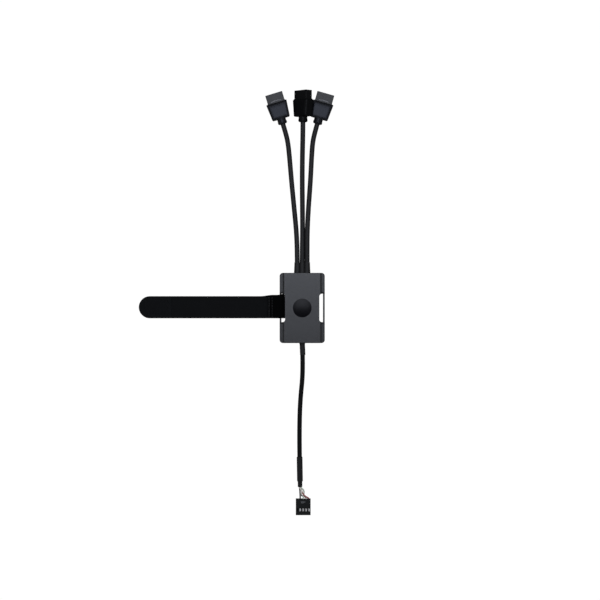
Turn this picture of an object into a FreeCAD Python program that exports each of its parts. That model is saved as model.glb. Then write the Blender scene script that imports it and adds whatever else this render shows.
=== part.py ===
import FreeCAD, Part
import math
import os

from FreeCAD import Placement, Rotation, Vector

# Internal USB hub: a flat box of two moulded shells around a small circuit board. Three output leads end
# in shrouded pin plugs, one input lead ends in a ten-way socket, and a hook-and-loop strap is looped round
# a bar at one side of the box. The bar at the other side takes the strap's free end.
# Millimetres. The origin is the middle of the flat base. +X points to the free bar, +Y along the output
# leads and +Z up, away from the surface that the hub and its leads lie on.

# Hub box
hub_length = 60.0
hub_width = 38.6
hub_height = 10.0
hub_corner_radius = 2.8
base_edge_chamfer = 0.5
seam_chamfer = 0.3
parting_height = 5.0
wall = 1.4
floor_thickness = 1.4
roof_thickness = 1.4
cavity_corner_radius = 1.2
fit_clearance = 0.1

# Raised deck and the lower shoulders beside it
shoulder_width = 3.8
shoulder_drop = 1.5
shoulder_fall = 0.4
shoulder_edge_radius = 1.0
deck_slope_run = 1.1
deck_edge_radius = 0.7

# Strap slots and the bars outside them
slot_length = 24.4
slot_width = 3.15
slot_corner_radius = 2.4
slot_end_slope = 1.5
bar_width = 1.5
bar_drop = 0.4
bar_edge_radius = 0.5
bar_anchor = 1.4

# Hook-and-loop strap, looped round the left bar and stitched back on itself
strap_width = 19.0
strap_thickness = 1.5
strap_middle_y = 0.6
strap_tip_x = -140.2
strap_tail_x = -29.3
strap_layer_gap = 0.05
strap_under_clearance = 0.55
strap_over_clearance = 0.3
strap_wall_clearance = 0.1
strap_fall_slope = 0.62
strap_tip_flat = 0.04

# Lip of the top shell and its snap wedges
lip_thickness = 0.65
lip_height = 1.0
snap_rise = 0.35
snap_length = 5.0
snap_inset = 7.6

# Circuit board, its standoffs, locating pins and hold-down posts
board_side_gap = 1.25
board_end_gap = 8.1
board_thickness = 1.2
board_corner_radius = 1.0
standoff_height = 1.2
standoff_size = 3.6
standoff_inset = 2.4
locating_pin_diameter = 1.8
locating_pin_rise = 0.5
post_size = 3.0
post_offset = 4.0

# Hub controller chip, with bent leads
chip_length = 9.9
chip_width = 3.9
chip_thickness = 1.4
chip_standoff = 0.1
chip_lead_count = 14
chip_lead_pitch = 0.635
chip_lead_width = 0.25
chip_lead_thickness = 0.3
chip_lead_reach = 1.05

# Other parts on the board: their sizes along X, Y and Z, and their places from the chip or the board's edges
crystal_size = (5.0, 3.2, 1.2)
crystal_corner_radius = 0.6
crystal_gap = 3.0
bulk_capacitor_size = (2.5, 3.2, 1.9)
bulk_capacitor_side_inset = 3.4
bulk_capacitor_end_inset = 10.0
chip_capacitor_size = (0.8, 1.6, 0.8)
chip_capacitor_gap = 1.6
chip_resistor_size = (1.6, 0.8, 0.45)
chip_resistor_end_inset = 7.0

# Leads and the conductors inside them
output_cable_diameter = 4.2
input_cable_diameter = 4.0
output_cable_gap = 0.03
jacket_stub = 1.0
conductor_count = 4
conductor_diameter = 0.75
conductor_gap = 0.2
conductor_sides = 6
solder_inset = 0.9
solder_size = (0.8, 1.0, 0.5)
solder_chamfer = 0.25

# Strain reliefs where the leads leave the box
output_boot_length = 9.0
output_boot_base_wall = 0.7
output_boot_neck_wall = 0.5
output_boot_tip_wall = 0.3
boot_flange_thickness = 1.6
boot_flange_rim = 0.7
input_boot_length = 10.3
input_boot_wall = 0.3
input_boot_neck_wall = 0.5
input_boot_flare_length = 1.5
input_boot_flare_rim = 0.25

# Contact grid of the plugs and the socket
pitch = 2.54
columns = 5
rows = 2

# Output plugs: a moulded grip with a neck for the lead, and a shroud round nine pins
shroud_reach = 8.1
shroud_seat = 3.0
shroud_wall = 0.8
shroud_side_room = 0.3
shroud_face_room = 0.16
shroud_depth = 7.0
shroud_edge_radius = 0.5
shroud_collar_rim = 0.3
shroud_collar_length = 0.8
pin_size = 0.64
pin_setback = 0.9
pin_chamfer = 0.2
grip_length = 14.2
grip_side_wall = 1.5
grip_face_wall = 1.1
grip_taper = 1.3
grip_edge_radius = 1.2
grip_crown_height = 0.6
grip_crown_inset = 2.1
neck_length = 4.7
neck_diameter = 7.9
neck_waist_diameter = 7.5
neck_collar_length = 2.2
neck_collar_chamfer = 0.7
cable_seat = 2.7
middle_plug_roll = 47.0

# Heat-shrink sleeve over the end of the input lead, and the four wires that leave it
sleeve_length = 20.3
sleeve_wall = 0.4
sleeve_bore_clearance = 0.1
sleeve_taper_length = 1.0
sleeve_tail_length = 4.3
sleeve_tail_wall = 0.2
wire_diameter = 1.2
wire_gap = 0.3
wire_span = 10.1
wire_lead_out = 2.6
wire_lead_in = 2.7
wire_depth = 3.9

# Ten-way socket on the input lead
socket_length = 13.9
socket_middle_x = 0.86
socket_cavity = 1.9
socket_front_wall = 2.4
socket_pin_hole = 0.95
socket_window_width = 1.35
socket_window_length = 2.6
socket_window_from_front = 3.3
socket_ramp_inset = 1.7
socket_ramp_length = 2.0
socket_ramp_height = 0.4
socket_ramp_rear_x = (-1.6, 3.7)
socket_ramp_front_x = (-0.9, 1.6)
contact_box_length = 5.6
contact_wall = 0.3
contact_crimp_wall = 0.2
contact_crimp_length = 2.2

# Share of the shorter run that an arc of a route takes up, and the room under a lead on the surface
arc_share = 0.45
lead_floor_gap = 0.05

# Heights and places that follow from the sizes above
half_length = hub_length / 2
half_width = hub_width / 2
shoulder_height = hub_height - shoulder_drop
deck_half = half_width - shoulder_width
deck_foot = deck_half + deck_slope_run
slot_inner = half_width - bar_width - slot_width
bar_bottom = strap_layer_gap + strap_thickness + strap_under_clearance
bar_top = parting_height - bar_drop
cavity_width = 2 * (slot_inner - wall)
cavity_length = hub_length - 2 * wall
cavity_top = hub_height - roof_thickness
board_width = cavity_width - 2 * board_side_gap
board_length = cavity_length - 2 * board_end_gap
board_underside = floor_thickness + standoff_height
board_top = board_underside + board_thickness
standoff_x = board_width / 2 - standoff_inset
standoff_y = board_length / 2 - standoff_inset
exit_height = parting_height
jacket_end = half_length - wall - boot_flange_thickness - jacket_stub
solder_end = board_length / 2 - solder_inset
conductor_pitch = conductor_diameter + conductor_gap
output_pitch = output_cable_diameter + output_cable_gap
output_neck_diameter = output_cable_diameter + 2 * output_boot_neck_wall
input_neck_diameter = input_cable_diameter + 2 * input_boot_neck_wall
shroud_hollow_width = columns * pitch + 2 * shroud_side_room
shroud_hollow_thickness = rows * pitch + 2 * shroud_face_room
shroud_width = shroud_hollow_width + 2 * shroud_wall
shroud_thickness = shroud_hollow_thickness + 2 * shroud_wall
grip_wide = shroud_width + 2 * grip_side_wall
grip_narrow = grip_wide - 2 * grip_taper
grip_thickness = shroud_thickness + 2 * grip_face_wall
grip_rim = grip_thickness - 2 * grip_crown_height
grip_mouth = neck_length + grip_length
sleeve_diameter = input_cable_diameter + 2 * (sleeve_bore_clearance + sleeve_wall)
wire_offset = (wire_diameter + wire_gap) / 2
wire_bundle_diameter = 2 * math.sqrt(2) * wire_offset + wire_diameter
sleeve_tail_diameter = wire_bundle_diameter + 2 * (sleeve_bore_clearance + sleeve_tail_wall)
contact_size = socket_cavity - 2 * fit_clearance

# Heights of the leads and plugs on the surface. The middle plug is rolled on to its lower edge
output_rest = output_cable_diameter / 2 + lead_floor_gap
input_rest = input_cable_diameter / 2 + lead_floor_gap
sleeve_height = sleeve_diameter / 2
flat_plug_height = grip_thickness / 2
roll = math.radians(middle_plug_roll)
crown_slope = math.atan2(grip_crown_height, grip_crown_inset)
edge_fall = grip_edge_radius * (1 - math.sin(crown_slope)) / math.cos(crown_slope)
rolled_plug_height = (
    (grip_wide / 2 - grip_edge_radius) * math.sin(roll)
    + (grip_rim / 2 - edge_fall) * math.cos(roll)
    + grip_edge_radius
)

# Routes of the leads, from inside the box to the end inside the plug or sleeve
left_route = [
    (-output_pitch, jacket_end, exit_height),
    (-output_pitch, 48.0, exit_height),
    (-5.0, 66.2, output_rest),
    (-7.0, 86.5, output_rest),
    (-9.2, 109.0, output_rest),
    (-10.95, 130.0, output_rest),
    (-12.3, 142.5, 2.9),
    (-14.6, 151.3, flat_plug_height),
    (-17.3, 160.1, flat_plug_height),
]
middle_route = [
    (0.0, jacket_end, exit_height),
    (0.0, 48.0, exit_height),
    (0.35, 66.2, output_rest),
    (0.2, 88.0, output_rest),
    (0.0, 109.5, output_rest),
    (0.15, 129.0, 3.4),
    (0.45, 142.5, 6.6),
    (0.6, 152.3, rolled_plug_height),
    (0.65, 161.5, rolled_plug_height),
]
right_route = [
    (output_pitch, jacket_end, exit_height),
    (output_pitch, 48.0, exit_height),
    (4.33, 66.2, 4.3),
    (5.4, 86.5, output_rest),
    (7.1, 109.0, output_rest),
    (8.1, 130.0, output_rest),
    (9.0, 142.5, 2.9),
    (11.1, 151.3, flat_plug_height),
    (13.6, 160.1, flat_plug_height),
]
input_route = [
    (-0.15, -jacket_end, exit_height),
    (1.0, -52.4, exit_height),
    (-1.7, -79.0, input_rest),
    (-2.35, -100.5, input_rest),
    (-2.3, -124.3, sleeve_height),
    (-1.9, -148.1, sleeve_height),
]

# Rear and mating faces of the socket
socket_rear_y = input_route[-1][1] - sleeve_taper_length - sleeve_tail_length - wire_span
socket_front_y = socket_rear_y - socket_length


def unit(vector):
    """A copy of a vector with length 1."""
    return Vector(vector).normalize()


def route_wire(route, label):
    """Straight runs joined by tangent arcs, each as large as its two runs allow."""
    points = [Vector(*point) for point in route]
    edges = []
    radii = []
    start = points[0]
    for before, corner, after in zip(points, points[1:], points[2:]):
        back = before - corner
        ahead = after - corner
        tangent = arc_share * min(back.Length, ahead.Length)
        half_turn = (math.pi - back.getAngle(ahead)) / 2
        radius = tangent / math.tan(half_turn)
        arc_start = corner + unit(back) * tangent
        arc_end = corner + unit(ahead) * tangent
        middle = corner + unit(unit(back) + unit(ahead)) * (radius / math.cos(half_turn) - radius)
        edges.append(Part.LineSegment(start, arc_start).toShape())
        edges.append(Part.Arc(arc_start, middle, arc_end).toShape())
        radii.append(round(radius, 1))
        start = arc_end
    edges.append(Part.LineSegment(start, points[-1]).toShape())
    print(label, "bend radii", radii)
    return Part.Wire(edges)


def swept(path, section, area, label):
    """A solid swept along a path, with its volume compared to its section times its length."""
    solid = path.makePipeShell([section], True, False)
    share = solid.Volume / area / path.Length
    print(label, "length", round(path.Length, 2), "volume share", round(share, 5))
    return solid


def tube(route, diameter, label):
    """A round solid along a route."""
    first = Vector(*route[0])
    section = Part.Wire(Part.makeCircle(diameter / 2, first, Vector(*route[1]) - first))
    return swept(route_wire(route, label), section, math.pi * diameter**2 / 4, label)


def rod(diameter, start, end):
    """A straight round solid between two points."""
    axis = Vector(*end) - Vector(*start)
    return Part.makeCylinder(diameter / 2, axis.Length, Vector(*start), axis)


def block(size, middle, low):
    """A box of a size along X, Y and Z, on its middle in plan and its lowest height."""
    width, length, height = size
    return Part.makeBox(width, length, height, Vector(middle[0] - width / 2, middle[1] - length / 2, low))


def prism(outline, direction):
    """A solid from a closed outline of corners, pushed along a direction."""
    corners = [Vector(*corner) for corner in outline]
    return Part.Face(Part.makePolygon(corners + corners[:1])).extrude(Vector(*direction))


def along(shape, axis):
    """The edges of a shape that run along an axis for more than half of the shape's own length there."""
    reach = getattr(shape.BoundBox, axis + "Length") / 2
    return [edge for edge in shape.Edges if getattr(edge.BoundBox, axis + "Length") > reach]


def level(shape, axis, place):
    """The edges of a shape that lie at one place on an axis."""
    tolerance = 1e-4
    boxes = [(edge, edge.BoundBox) for edge in shape.Edges]
    return [
        edge
        for edge, box in boxes
        if getattr(box, axis + "Min") > place - tolerance and getattr(box, axis + "Max") < place + tolerance
    ]


def rounded_block(size, radius, low):
    """A box on the origin in plan, with its four upright edges rounded."""
    box = block(size, (0, 0), low)
    return box.makeFillet(radius, along(box, "Z"))


def fused(shapes):
    """One shape from several that touch or overlap."""
    return shapes[0].multiFuse(shapes[1:]).removeSplitter()


def four_corners(x, y):
    """The four places at plus and minus x and y."""
    return [(side * x, end * y) for side in (-1, 1) for end in (-1, 1)]


def strap_notch(side):
    """The space taken out of one side of both shells: the strap slot, and the room round its bar."""
    depth = half_width - slot_inner + bar_width
    middle = slot_inner + depth / 2
    notch = block((depth, slot_length, hub_height), (middle, 0), 0)
    inner = [edge for edge in along(notch, "Z") if edge.CenterOfMass.x < middle]
    notch = notch.makeFillet(slot_corner_radius, inner)
    if side < 0:
        notch = notch.mirror(Vector(0, 0, 0), Vector(1, 0, 0))
    return notch


def slot_end_wedges():
    """The wedges taken off the shoulders where they slope down to the ends of the strap slots."""
    end = slot_length / 2
    section = [
        (end, shoulder_height - slot_end_slope),
        (end + slot_end_slope, shoulder_height),
        (end, shoulder_height),
    ]
    wedges = []
    for side, way in four_corners(1, 1):
        outline = [(side * deck_foot, way * y, z) for y, z in section]
        wedges.append(prism(outline, (side * shoulder_width, 0, 0)))
    return wedges


def cavity(extra, low, high):
    """The hollow of the box, or the same outline grown by extra all round."""
    size = (cavity_width + 2 * extra, cavity_length + 2 * extra, high - low)
    return rounded_block(size, cavity_corner_radius + extra, low)


def output_places():
    """Where the three output leads leave the box, across its width."""
    return [-output_pitch, 0.0, output_pitch]


def output_exits(diameter):
    """Three round bars through the end wall, on the output leads' lines."""
    near = half_length - wall - boot_flange_thickness
    bars = [rod(diameter, (x, near, exit_height), (x, half_length, exit_height)) for x in output_places()]
    return fused(bars)


def input_exit(diameter):
    """A round bar through the other end wall, on the input lead's line."""
    near = -half_length + wall + boot_flange_thickness
    return rod(diameter, (0, near, exit_height), (0, -half_length, exit_height))


def exit_cuts():
    """The openings for the strain reliefs, shared by both shells."""
    room = 2 * fit_clearance
    return [output_exits(output_neck_diameter + room), input_exit(input_neck_diameter + room)]


def snap_wedges(extra):
    """Four wedges on the long sides of the lip, or the grooves for them with extra room all round."""
    root = cavity_width / 2 + lip_thickness - snap_rise
    peak = cavity_width / 2 + lip_thickness + snap_rise + extra
    middle = parting_height - lip_height / 2
    rise = 2 * snap_rise + extra
    half = snap_length / 2 + extra
    wedges = []
    for side, y in four_corners(1, cavity_length / 2 - snap_inset):
        section = [(root, middle - rise), (peak, middle), (root, middle + rise)]
        wedges.append(prism([(side * x, y - half, z) for x, z in section], (0, 2 * half, 0)))
    return wedges


def deck():
    """The raised middle of the top shell, with sloped sides and rounded edges."""
    section = [
        (-deck_foot, parting_height),
        (-deck_foot, shoulder_height),
        (-deck_half, hub_height),
        (deck_half, hub_height),
        (deck_foot, shoulder_height),
        (deck_foot, parting_height),
    ]
    body = prism([(x, -half_length, z) for x, z in section], (0, hub_length, 0))
    upper = [edge for edge in body.Edges if edge.BoundBox.ZMax > shoulder_height + shoulder_drop / 2]
    return body.makeFillet(deck_edge_radius, upper)


def shoulders():
    """The lower part of the top shell, with rounded edges and sides that fall a little."""
    size = (hub_width, hub_length, shoulder_height - parting_height)
    slab = rounded_block(size, hub_corner_radius, parting_height)
    slab = slab.makeFillet(shoulder_edge_radius, level(slab, "Z", shoulder_height))
    side_height = shoulder_height - shoulder_fall
    section = [(deck_foot, shoulder_height), (half_width, side_height), (half_width, shoulder_height)]
    falls = [prism([(side * x, -half_length, z) for x, z in section], (0, hub_length, 0)) for side in (-1, 1)]
    return slab.cut(falls)


def hold_down_posts():
    """Four square posts under the roof that press on the board beside its standoffs."""
    size = (post_size, post_size, cavity_top - board_top)
    places = four_corners(standoff_x, standoff_y - post_offset)
    return [block(size, place, board_top) for place in places]


def top_cover():
    """The upper shell: shoulders, deck, lip, and posts that hold the board down."""
    shell = fused([shoulders(), deck()])
    shell = shell.cut([strap_notch(-1), strap_notch(1), cavity(0, parting_height, cavity_top)])
    shell = shell.cut(slot_end_wedges())
    lip_bottom = parting_height - lip_height
    ridged = fused([cavity(lip_thickness, lip_bottom, parting_height)] + snap_wedges(0))
    below = [cavity(0, lip_bottom, parting_height)]
    lip = ridged.common(cavity(wall, lip_bottom, parting_height)).cut(below)
    return fused([shell, lip] + hold_down_posts()).cut(exit_cuts())


def strap_bar(side):
    """The round-edged bar outside a strap slot, run into the shell at both ends."""
    size = (bar_width, slot_length + 2 * bar_anchor, bar_top - bar_bottom)
    bar = block(size, (side * (half_width - bar_width / 2), 0), bar_bottom)
    return bar.makeFillet(bar_edge_radius, along(bar, "Y"))


def locating_pins(diameter, low, high):
    """Two round pins, or their holes, at opposite corners of the board."""
    corners = [(-standoff_x, -standoff_y), (standoff_x, standoff_y)]
    return [rod(diameter, (x, y, low), (x, y, high)) for x, y in corners]


def bottom_cover():
    """The lower shell: a tray with a chamfered seam, strap bars, and standoffs and pins for the board."""
    slab = rounded_block((hub_width, hub_length, parting_height), hub_corner_radius, 0)
    slab = slab.makeChamfer(base_edge_chamfer, level(slab, "Z", 0))
    slab = slab.makeChamfer(seam_chamfer, level(slab, "Z", parting_height))
    shell = slab.cut([strap_notch(-1), strap_notch(1)])
    shell = fused([shell, strap_bar(-1), strap_bar(1)])
    rebate_bottom = parting_height - lip_height - fit_clearance
    rebate = cavity(lip_thickness + fit_clearance, rebate_bottom, parting_height)
    hollow = cavity(0, floor_thickness, parting_height)
    shell = shell.cut([hollow, rebate] + exit_cuts() + snap_wedges(fit_clearance))
    size = (standoff_size, standoff_size, standoff_height)
    standoffs = [block(size, place, floor_thickness) for place in four_corners(standoff_x, standoff_y)]
    pins = locating_pins(locating_pin_diameter, board_underside, board_top + locating_pin_rise)
    return fused([shell] + standoffs + pins)


def circuit_board():
    """The board, with a hole for each locating pin."""
    size = (board_width, board_length, board_thickness)
    board = rounded_block(size, board_corner_radius, board_underside)
    return board.cut(locating_pins(locating_pin_diameter + 2 * fit_clearance, board_underside, board_top))


def controller_chip():
    """The hub chip: a moulded body with a row of sloping leads along each side."""
    low = board_top + chip_standoff
    body = block((chip_length, chip_width, chip_thickness), (0, 0), low)
    shelf = low + chip_thickness / 2
    side = chip_width / 2
    foot = side + chip_lead_reach
    section = [
        (side, shelf),
        (side, shelf + chip_lead_thickness),
        (foot, board_top + chip_lead_thickness),
        (foot, board_top),
    ]
    pieces = [body]
    for number in range(chip_lead_count):
        x = (number - (chip_lead_count - 1) / 2) * chip_lead_pitch - chip_lead_width / 2
        for way in (-1, 1):
            pieces.append(prism([(x, way * y, z) for y, z in section], (chip_lead_width, 0, 0)))
    return fused(pieces)


def crystal():
    """The low metal can of the crystal, beside the chip."""
    middle = (0, -(chip_width / 2 + chip_lead_reach + crystal_gap))
    can = block(crystal_size, middle, board_top)
    return can.makeFillet(crystal_corner_radius, along(can, "Z"))


def board_parts(size, middles):
    """A group of like parts that stand on the board."""
    return Part.makeCompound([block(size, middle, board_top) for middle in middles])


def bulk_capacitors():
    """The larger capacitors, towards the corners of the board."""
    x = board_width / 2 - bulk_capacitor_side_inset
    y = board_length / 2 - bulk_capacitor_end_inset
    return board_parts(bulk_capacitor_size, four_corners(x, y))


def chip_capacitors():
    """The small capacitors at the chip's four corners."""
    x = chip_length / 2 + chip_capacitor_gap
    return board_parts(chip_capacitor_size, four_corners(x, chip_width / 2))


def chip_resistors():
    """A small resistor in line with each lead."""
    y = board_length / 2 - chip_resistor_end_inset
    return board_parts(chip_resistor_size, [(x, y) for x in output_places()] + [(0, -y)])


def conductor_places(number):
    """Where one colour of conductor runs: for each lead, its place across the box and its end."""
    offset = (number - (conductor_count - 1) / 2) * conductor_pitch
    return [(x + offset, 1) for x in output_places()] + [(offset, -1)]


def conductors(number, cables):
    """The conductors of one colour, six-sided, from the end of each lead's jacket down to the board."""
    radius = conductor_diameter / 2
    drop = exit_height - (board_top + radius + fit_clearance)
    turns = [2 * math.pi * step / conductor_sides for step in range(conductor_sides)]
    wires = []
    for x, end in conductor_places(number):
        start = end * jacket_end
        outline = [(x + radius * math.cos(t), start, exit_height + radius * math.sin(t)) for t in turns]
        wires.append(prism(outline, (0, end * solder_end - start, -drop)).cut(cables))
    return Part.makeCompound(wires)


def solder_joints():
    """A small mound of solder at the end of each conductor."""
    mounds = []
    for number in range(conductor_count):
        for x, end in conductor_places(number):
            middle = (x, end * (solder_end - solder_size[1] / 2 - fit_clearance))
            mound = block(solder_size, middle, board_top)
            mounds.append(mound.makeChamfer(solder_chamfer, level(mound, "Z", board_top + solder_size[2])))
    return Part.makeCompound(mounds)


def output_boot(cables):
    """The strain relief of the three output leads: a flange inside the wall and three tapered sleeves."""
    base_radius = output_cable_diameter / 2 + output_boot_base_wall
    tip_radius = output_cable_diameter / 2 + output_boot_tip_wall
    pieces = [output_exits(output_neck_diameter)]
    for x in output_places():
        root = Vector(x, half_length, exit_height)
        pieces.append(Part.makeCone(base_radius, tip_radius, output_boot_length, root, Vector(0, 1, 0)))
    low = floor_thickness + 2 * fit_clearance
    high = cavity_top - 2 * fit_clearance
    flange_width = 2 * output_pitch + output_neck_diameter + 2 * boot_flange_rim
    flange_middle = (0, half_length - wall - boot_flange_thickness / 2)
    pieces.append(block((flange_width, boot_flange_thickness, high - low), flange_middle, low))
    return fused(pieces).cut(cables)


def input_boot(cable):
    """The strain relief of the input lead: a flange, a neck in the wall, and a slim sleeve outside."""
    start = Vector(*input_route[0])
    onward = unit(Vector(*input_route[1]) - start)
    root = start + onward * ((half_length - jacket_end) / abs(onward.y))
    radius = input_cable_diameter / 2 + input_boot_wall
    sleeve = Part.makeCylinder(radius, input_boot_length, root, onward)
    flare = Part.makeCone(radius + input_boot_flare_rim, radius, input_boot_flare_length, root, onward)
    inner = Vector(0, -half_length + wall, exit_height)
    flange_radius = input_neck_diameter / 2 + boot_flange_rim
    flange = Part.makeCylinder(flange_radius, boot_flange_thickness, inner, Vector(0, 1, 0))
    return fused([sleeve, flare, input_exit(input_neck_diameter), flange]).cut(cable)


def plug_neck():
    """The turned neck of a grip: a chamfered collar and a narrower waist that runs into the grip."""
    collar = neck_diameter / 2
    waist = neck_waist_diameter / 2
    root = neck_length + grip_edge_radius
    profile = [
        (0, 0),
        (collar - neck_collar_chamfer, 0),
        (collar, neck_collar_chamfer),
        (collar, neck_collar_length),
        (waist, neck_collar_length),
        (waist, root),
        (0, root),
    ]
    corners = [Vector(x, y, 0) for x, y in profile]
    face = Part.Face(Part.makePolygon(corners + corners[:1]))
    return face.revolve(Vector(0, 0, 0), Vector(0, 1, 0), 360)


def grip_outline(inset, height):
    """The outline of a grip in plan, drawn in by an inset all round, at one height."""
    near = neck_length + inset
    far = grip_mouth - inset
    narrowing = grip_taper * inset / grip_length
    near_half = grip_narrow / 2 + narrowing - inset
    far_half = grip_wide / 2 - narrowing - inset
    corners = [(-near_half, near), (near_half, near), (far_half, far), (-far_half, far)]
    return [Vector(x, y, height) for x, y in corners]


def grip_crown(side):
    """The low crown on one face of a grip: its rim slopes up to a flat panel."""
    rim = grip_outline(0, side * grip_rim / 2)
    panel = grip_outline(grip_crown_inset, side * grip_thickness / 2)
    slopes = [[rim[i - 1], rim[i], panel[i], panel[i - 1]] for i in range(len(rim))]
    faces = [Part.Face(Part.makePolygon(corners + corners[:1])) for corners in [rim, panel] + slopes]
    return Part.makeSolid(Part.makeShell(faces))


def plug_grip():
    """The moulded grip of a plug, lying along Y from the end of its neck."""
    body = prism(grip_outline(0, -grip_rim / 2), (0, 0, grip_rim))
    grip = fused([body, grip_crown(-1), grip_crown(1)])
    outer = [edge for edge in along(grip, "Y") if abs(edge.CenterOfMass.z) < grip_rim / 2 + fit_clearance]
    grip = grip.makeFillet(grip_edge_radius, outer + level(grip, "Y", neck_length))
    return fused([grip, plug_neck()])


def plug_pins():
    """The nine square pins of a plug: two rows, with the end place of one row left out as the key."""
    near = grip_mouth - shroud_seat
    far = grip_mouth + shroud_reach - pin_setback
    pins = []
    for column in range(columns):
        for row in range(rows):
            if (column, row) == (0, 0):
                continue
            x = (column - (columns - 1) / 2) * pitch
            z = (row - (rows - 1) / 2) * pitch
            pin = block((pin_size, far - near, pin_size), (x, (near + far) / 2), z - pin_size / 2)
            pins.append(pin.makeChamfer(pin_chamfer, level(pin, "Y", far)))
    return Part.makeCompound(pins)


def plug_box(width, thickness, near, far):
    """A box on a plug's axis."""
    return block((width, far - near, thickness), (0, (near + far) / 2), -thickness / 2)


def plug_shroud(pins):
    """The shroud of a plug: a collar at the grip, a deep mouth, and a base that holds the pins."""
    far = grip_mouth + shroud_reach
    outer = plug_box(shroud_width, shroud_thickness, grip_mouth - shroud_seat, far)
    outer = outer.makeFillet(shroud_edge_radius, along(outer, "Y"))
    collar_width = shroud_width + 2 * shroud_collar_rim
    collar_thickness = shroud_thickness + 2 * shroud_collar_rim
    collar = plug_box(collar_width, collar_thickness, grip_mouth, grip_mouth + shroud_collar_length)
    hollow = plug_box(shroud_hollow_width, shroud_hollow_thickness, far - shroud_depth, far)
    return fused([outer, collar]).cut([hollow, pins])


def plug_placement(route, turn):
    """Where a plug sits: on the last run of its lead, turned about that run."""
    end = Vector(*route[-1])
    onward = unit(end - Vector(*route[-2]))
    heading = math.degrees(math.atan2(-onward.x, onward.y))
    rotation = Rotation(Vector(0, 0, 1), heading).multiply(Rotation(Vector(0, 1, 0), turn))
    return Placement(end - onward * cable_seat, rotation)


def plug(name, route, turn, cable):
    """The three pieces of one plug, on the end of its lead."""
    place = plug_placement(route, turn).toMatrix()
    pins = plug_pins()
    shroud = plug_shroud(pins)
    grip = plug_grip().cut([shroud, pins])
    return {
        f"{name}_plug_grip": grip.transformed(place).cut(cable),
        f"{name}_plug_shroud": shroud.transformed(place),
        f"{name}_plug_pins": pins.transformed(place),
    }


def sleeve_frame():
    """The end of the input lead's jacket, the direction that it points in, and the one across it."""
    end = Vector(*input_route[-1])
    onward = unit(end - Vector(*input_route[-2]))
    return end, onward, Vector(-onward.y, onward.x, 0)


def cable_sleeve():
    """The heat-shrink sleeve: wide over the jacket, and drawn in over the four wires past its end."""
    end, onward, _ = sleeve_frame()
    radius = sleeve_diameter / 2
    tail_radius = sleeve_tail_diameter / 2
    start = end - onward * sleeve_length
    past_length = sleeve_taper_length + sleeve_tail_length
    wide = Part.makeCylinder(radius, sleeve_length, start, onward)
    taper = Part.makeCone(radius, tail_radius, sleeve_taper_length, end, onward)
    tail = Part.makeCylinder(tail_radius, past_length, end, onward)
    bore_radius = input_cable_diameter / 2 + sleeve_bore_clearance
    bore = Part.makeCylinder(bore_radius, sleeve_length, start, onward)
    wire_bore_radius = wire_bundle_diameter / 2 + sleeve_bore_clearance
    wire_bore = Part.makeCylinder(wire_bore_radius, past_length, end, onward)
    return fused([wide, taper, tail]).cut([bore, wire_bore])


def socket_place(column, row):
    """The place of one way of the socket, across the part and up, counted from its lower left corner."""
    return socket_middle_x + (column - (columns - 1) / 2) * pitch, (row + 0.5) * pitch


def header_wire(side, height, column, label):
    """One wire from its place in the sleeve to the upper row of the socket."""
    end, onward, across = sleeve_frame()
    start = end + across * (side * wire_offset) + Vector(0, 0, height * wire_offset)
    leave = start + onward * (sleeve_taper_length + sleeve_tail_length + wire_lead_out)
    x, z = socket_place(column, rows - 1)
    arrive = (x, socket_rear_y + wire_lead_in, z)
    finish = (x, socket_rear_y - wire_depth, z)
    return tube([start, leave, arrive, finish], wire_diameter, label)


def socket_ramp():
    """The small ramp on top of the socket, which narrows as it rises away from the wires."""
    top = rows * pitch
    rear = socket_rear_y - socket_ramp_inset
    front = rear - socket_ramp_length
    left, right = socket_ramp_rear_x
    section = [(rear, top - fit_clearance), (front, top - fit_clearance), (front, top + socket_ramp_height)]
    wedge = prism([(left, y, z) for y, z in section], (right - left, 0, 0))
    corners = [(x, rear) for x in (left, right)] + [(x, front) for x in reversed(socket_ramp_front_x)]
    return wedge.common(prism([(x, y, 0) for x, y in corners], (0, 0, hub_height)))


def header_housing():
    """The ten-way socket: a cavity, a pin hole and a window for each way, with one hole shut as the key."""
    size = (columns * pitch, socket_length, rows * pitch)
    body = fused([block(size, (socket_middle_x, socket_rear_y - socket_length / 2), 0), socket_ramp()])
    depth = socket_length - socket_front_wall
    hollow = (socket_cavity, depth, socket_cavity)
    window = (socket_window_width, socket_window_length, pitch / 2)
    hole = (socket_pin_hole, socket_front_wall, socket_pin_hole)
    window_y = socket_front_y + socket_window_from_front + socket_window_length / 2
    cuts = []
    for column in range(columns):
        for row in range(rows):
            x, z = socket_place(column, row)
            window_low = z if row else 0
            cuts.append(block(hollow, (x, socket_rear_y - depth / 2), z - socket_cavity / 2))
            cuts.append(block(window, (x, window_y), window_low))
            if (column, row) != (0, 0):
                hole_y = socket_front_y + socket_front_wall / 2
                cuts.append(block(hole, (x, hole_y), z - socket_pin_hole / 2))
    return body.cut(cuts)


def header_contact(column, wires):
    """One contact: a square tube for the pin, a floor strip, and crimp walls beside the end of the wire."""
    x, z = socket_place(column, rows - 1)
    near = socket_front_y + socket_front_wall
    crimp_near = socket_rear_y - wire_depth
    crimp_far = crimp_near + contact_crimp_length
    low = z - contact_size / 2
    bore_size = contact_size - 2 * contact_wall
    middle = (x, near + contact_box_length / 2)
    tube_box = block((contact_size, contact_box_length, contact_size), middle, low)
    bore = block((bore_size, contact_box_length, bore_size), middle, z - bore_size / 2)
    strip = block((wire_diameter, crimp_far - near, contact_wall), (x, (near + crimp_far) / 2), low)
    crimp_width = wire_diameter + 2 * contact_crimp_wall
    crimp_size = (crimp_width, contact_crimp_length, contact_size / 2)
    crimp = block(crimp_size, (x, (crimp_near + crimp_far) / 2), low)
    return fused([tube_box.cut(bore), strip, crimp]).cut(wires)


def header_contacts(wires):
    """The four contacts in the upper row."""
    return Part.makeCompound([header_contact(column, wires) for column in range(1, columns)])


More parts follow.
